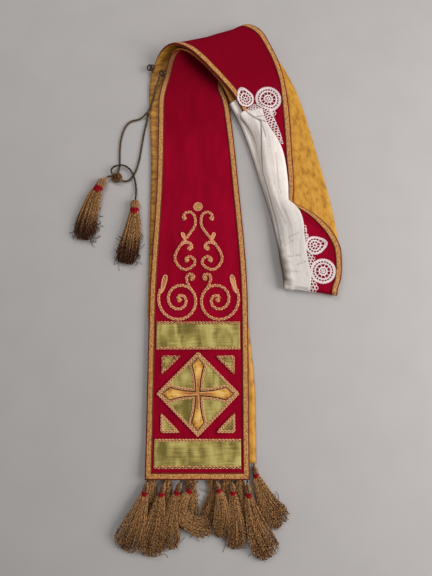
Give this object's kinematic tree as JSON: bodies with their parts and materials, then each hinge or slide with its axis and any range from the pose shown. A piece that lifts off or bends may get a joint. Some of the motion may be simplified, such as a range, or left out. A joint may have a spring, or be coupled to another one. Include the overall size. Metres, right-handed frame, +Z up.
{
  "type": "clerical stole",
  "caption": "Long lined cloth band laid down in folds, with braid edges, applied cross panel, scroll embroidery, neck linen with lace, hem tassels and a knotted tie cord.",
  "frame": {"origin": "centre of the laid-out stole's box, without the tie cord, on the surface it lies on", "axes": "+Z up from the surface; +Y along the front panel from its hem to its fold; +X to the right of the front panel as it is read"},
  "size_m": [0.4211, 0.8456, 0.046],
  "materials": {
    "crimson_wool": "matt wool cloth",
    "gold_sateen": "satin",
    "gold_galloon": "woven braid",
    "green_silk": "silk",
    "gold_silk": "silk",
    "couched_gold_cord": "couched thread",
    "white_linen": "matt linen",
    "white_lace": "crochet lace",
    "gold_tassel_thread": "twisted thread",
    "gold_tie_cord": "twisted cord"
  },
  "bodies": {
    "root": {"cord_knot": "gold_tie_cord", "cord_loop_back": "gold_tie_cord", "cord_loop_front": "gold_tie_cord", "cord_ring": "gold_tie_cord", "cord_strand_back": "gold_tie_cord", "cord_strand_front": "gold_tie_cord", "cord_tassel_left": "gold_tassel_thread", "cord_tassel_right": "gold_tassel_thread", "corner_lower_inner": "green_silk", "corner_lower_outer": "green_silk", "corner_upper_inner": "green_silk", "corner_upper_outer": "green_silk", "cross": "gold_silk", "diamond": "green_silk", "embroidery_dot": "couched_gold_cord", "face_a": "crimson_wool", "face_b": "crimson_wool", "galloon_hem_a": "gold_galloon", "galloon_hem_b": "gold_galloon", "galloon_inner_a": "gold_galloon", "galloon_inner_b": "gold_galloon", "galloon_outer_a": "gold_galloon", "galloon_outer_b": "gold_galloon", "green_band_lower": "green_silk", "green_band_upper": "green_silk", "lace_lower": "white_lace", "lace_upper": "white_lace", "linen_protector": "white_linen", "lining_a": "gold_sateen", "lining_b": "gold_sateen", "scroll_lower_inner": "couched_gold_cord", "scroll_lower_outer": "couched_gold_cord", "scroll_upper_inner": "couched_gold_cord", "scroll_upper_outer": "couched_gold_cord", "tassel_back_1": "gold_tassel_thread", "tassel_back_2": "gold_tassel_thread", "tassel_back_3": "gold_tassel_thread", "tassel_back_4": "gold_tassel_thread", "tassel_back_5": "gold_tassel_thread", "tassel_back_6": "gold_tassel_thread", "tassel_back_7": "gold_tassel_thread", "tassel_front_1": "gold_tassel_thread", "tassel_front_2": "gold_tassel_thread", "tassel_front_3": "gold_tassel_thread", "tassel_front_4": "gold_tassel_thread", "tassel_front_5": "gold_tassel_thread", "tassel_front_6": "gold_tassel_thread", "tassel_front_7": "gold_tassel_thread"}
  },
  "joints": []
}
